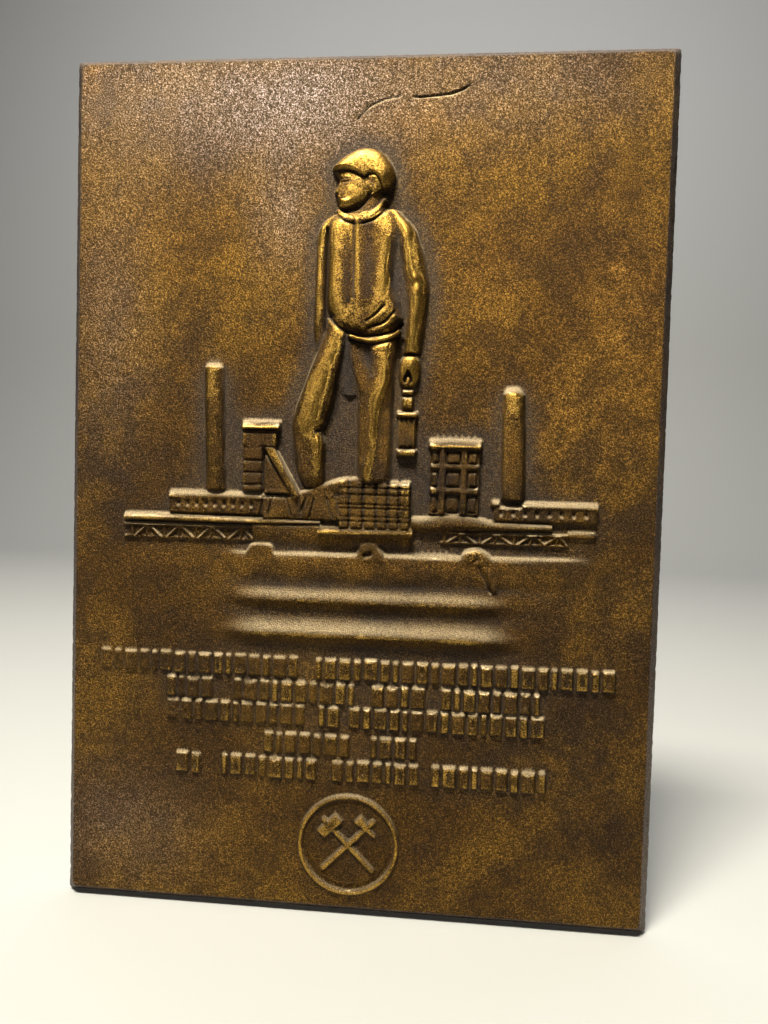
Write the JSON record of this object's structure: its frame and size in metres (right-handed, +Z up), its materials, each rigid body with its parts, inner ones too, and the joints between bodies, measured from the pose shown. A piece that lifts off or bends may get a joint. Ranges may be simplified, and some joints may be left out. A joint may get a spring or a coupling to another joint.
{
  "type": "commemorative plaque",
  "caption": "Cast bronze wall plaque in low relief: a miner with a safety lamp before a colliery skyline, water, rows of plain strokes and a roundel, with a flat back.",
  "frame": {"origin": "centre of the flat back, which lies against the wall", "axes": "+X to the viewer's right, +Y out of the back into the wall, +Z up; the relief faces -Y"},
  "size_m": [0.2, 0.0104, 0.288],
  "materials": {
    "bronze": "sand-cast bronze with a dark brown patina, rubbed golden on the high points of the relief"
  },
  "bodies": {
    "root": {"plaque": "bronze"}
  },
  "joints": []
}
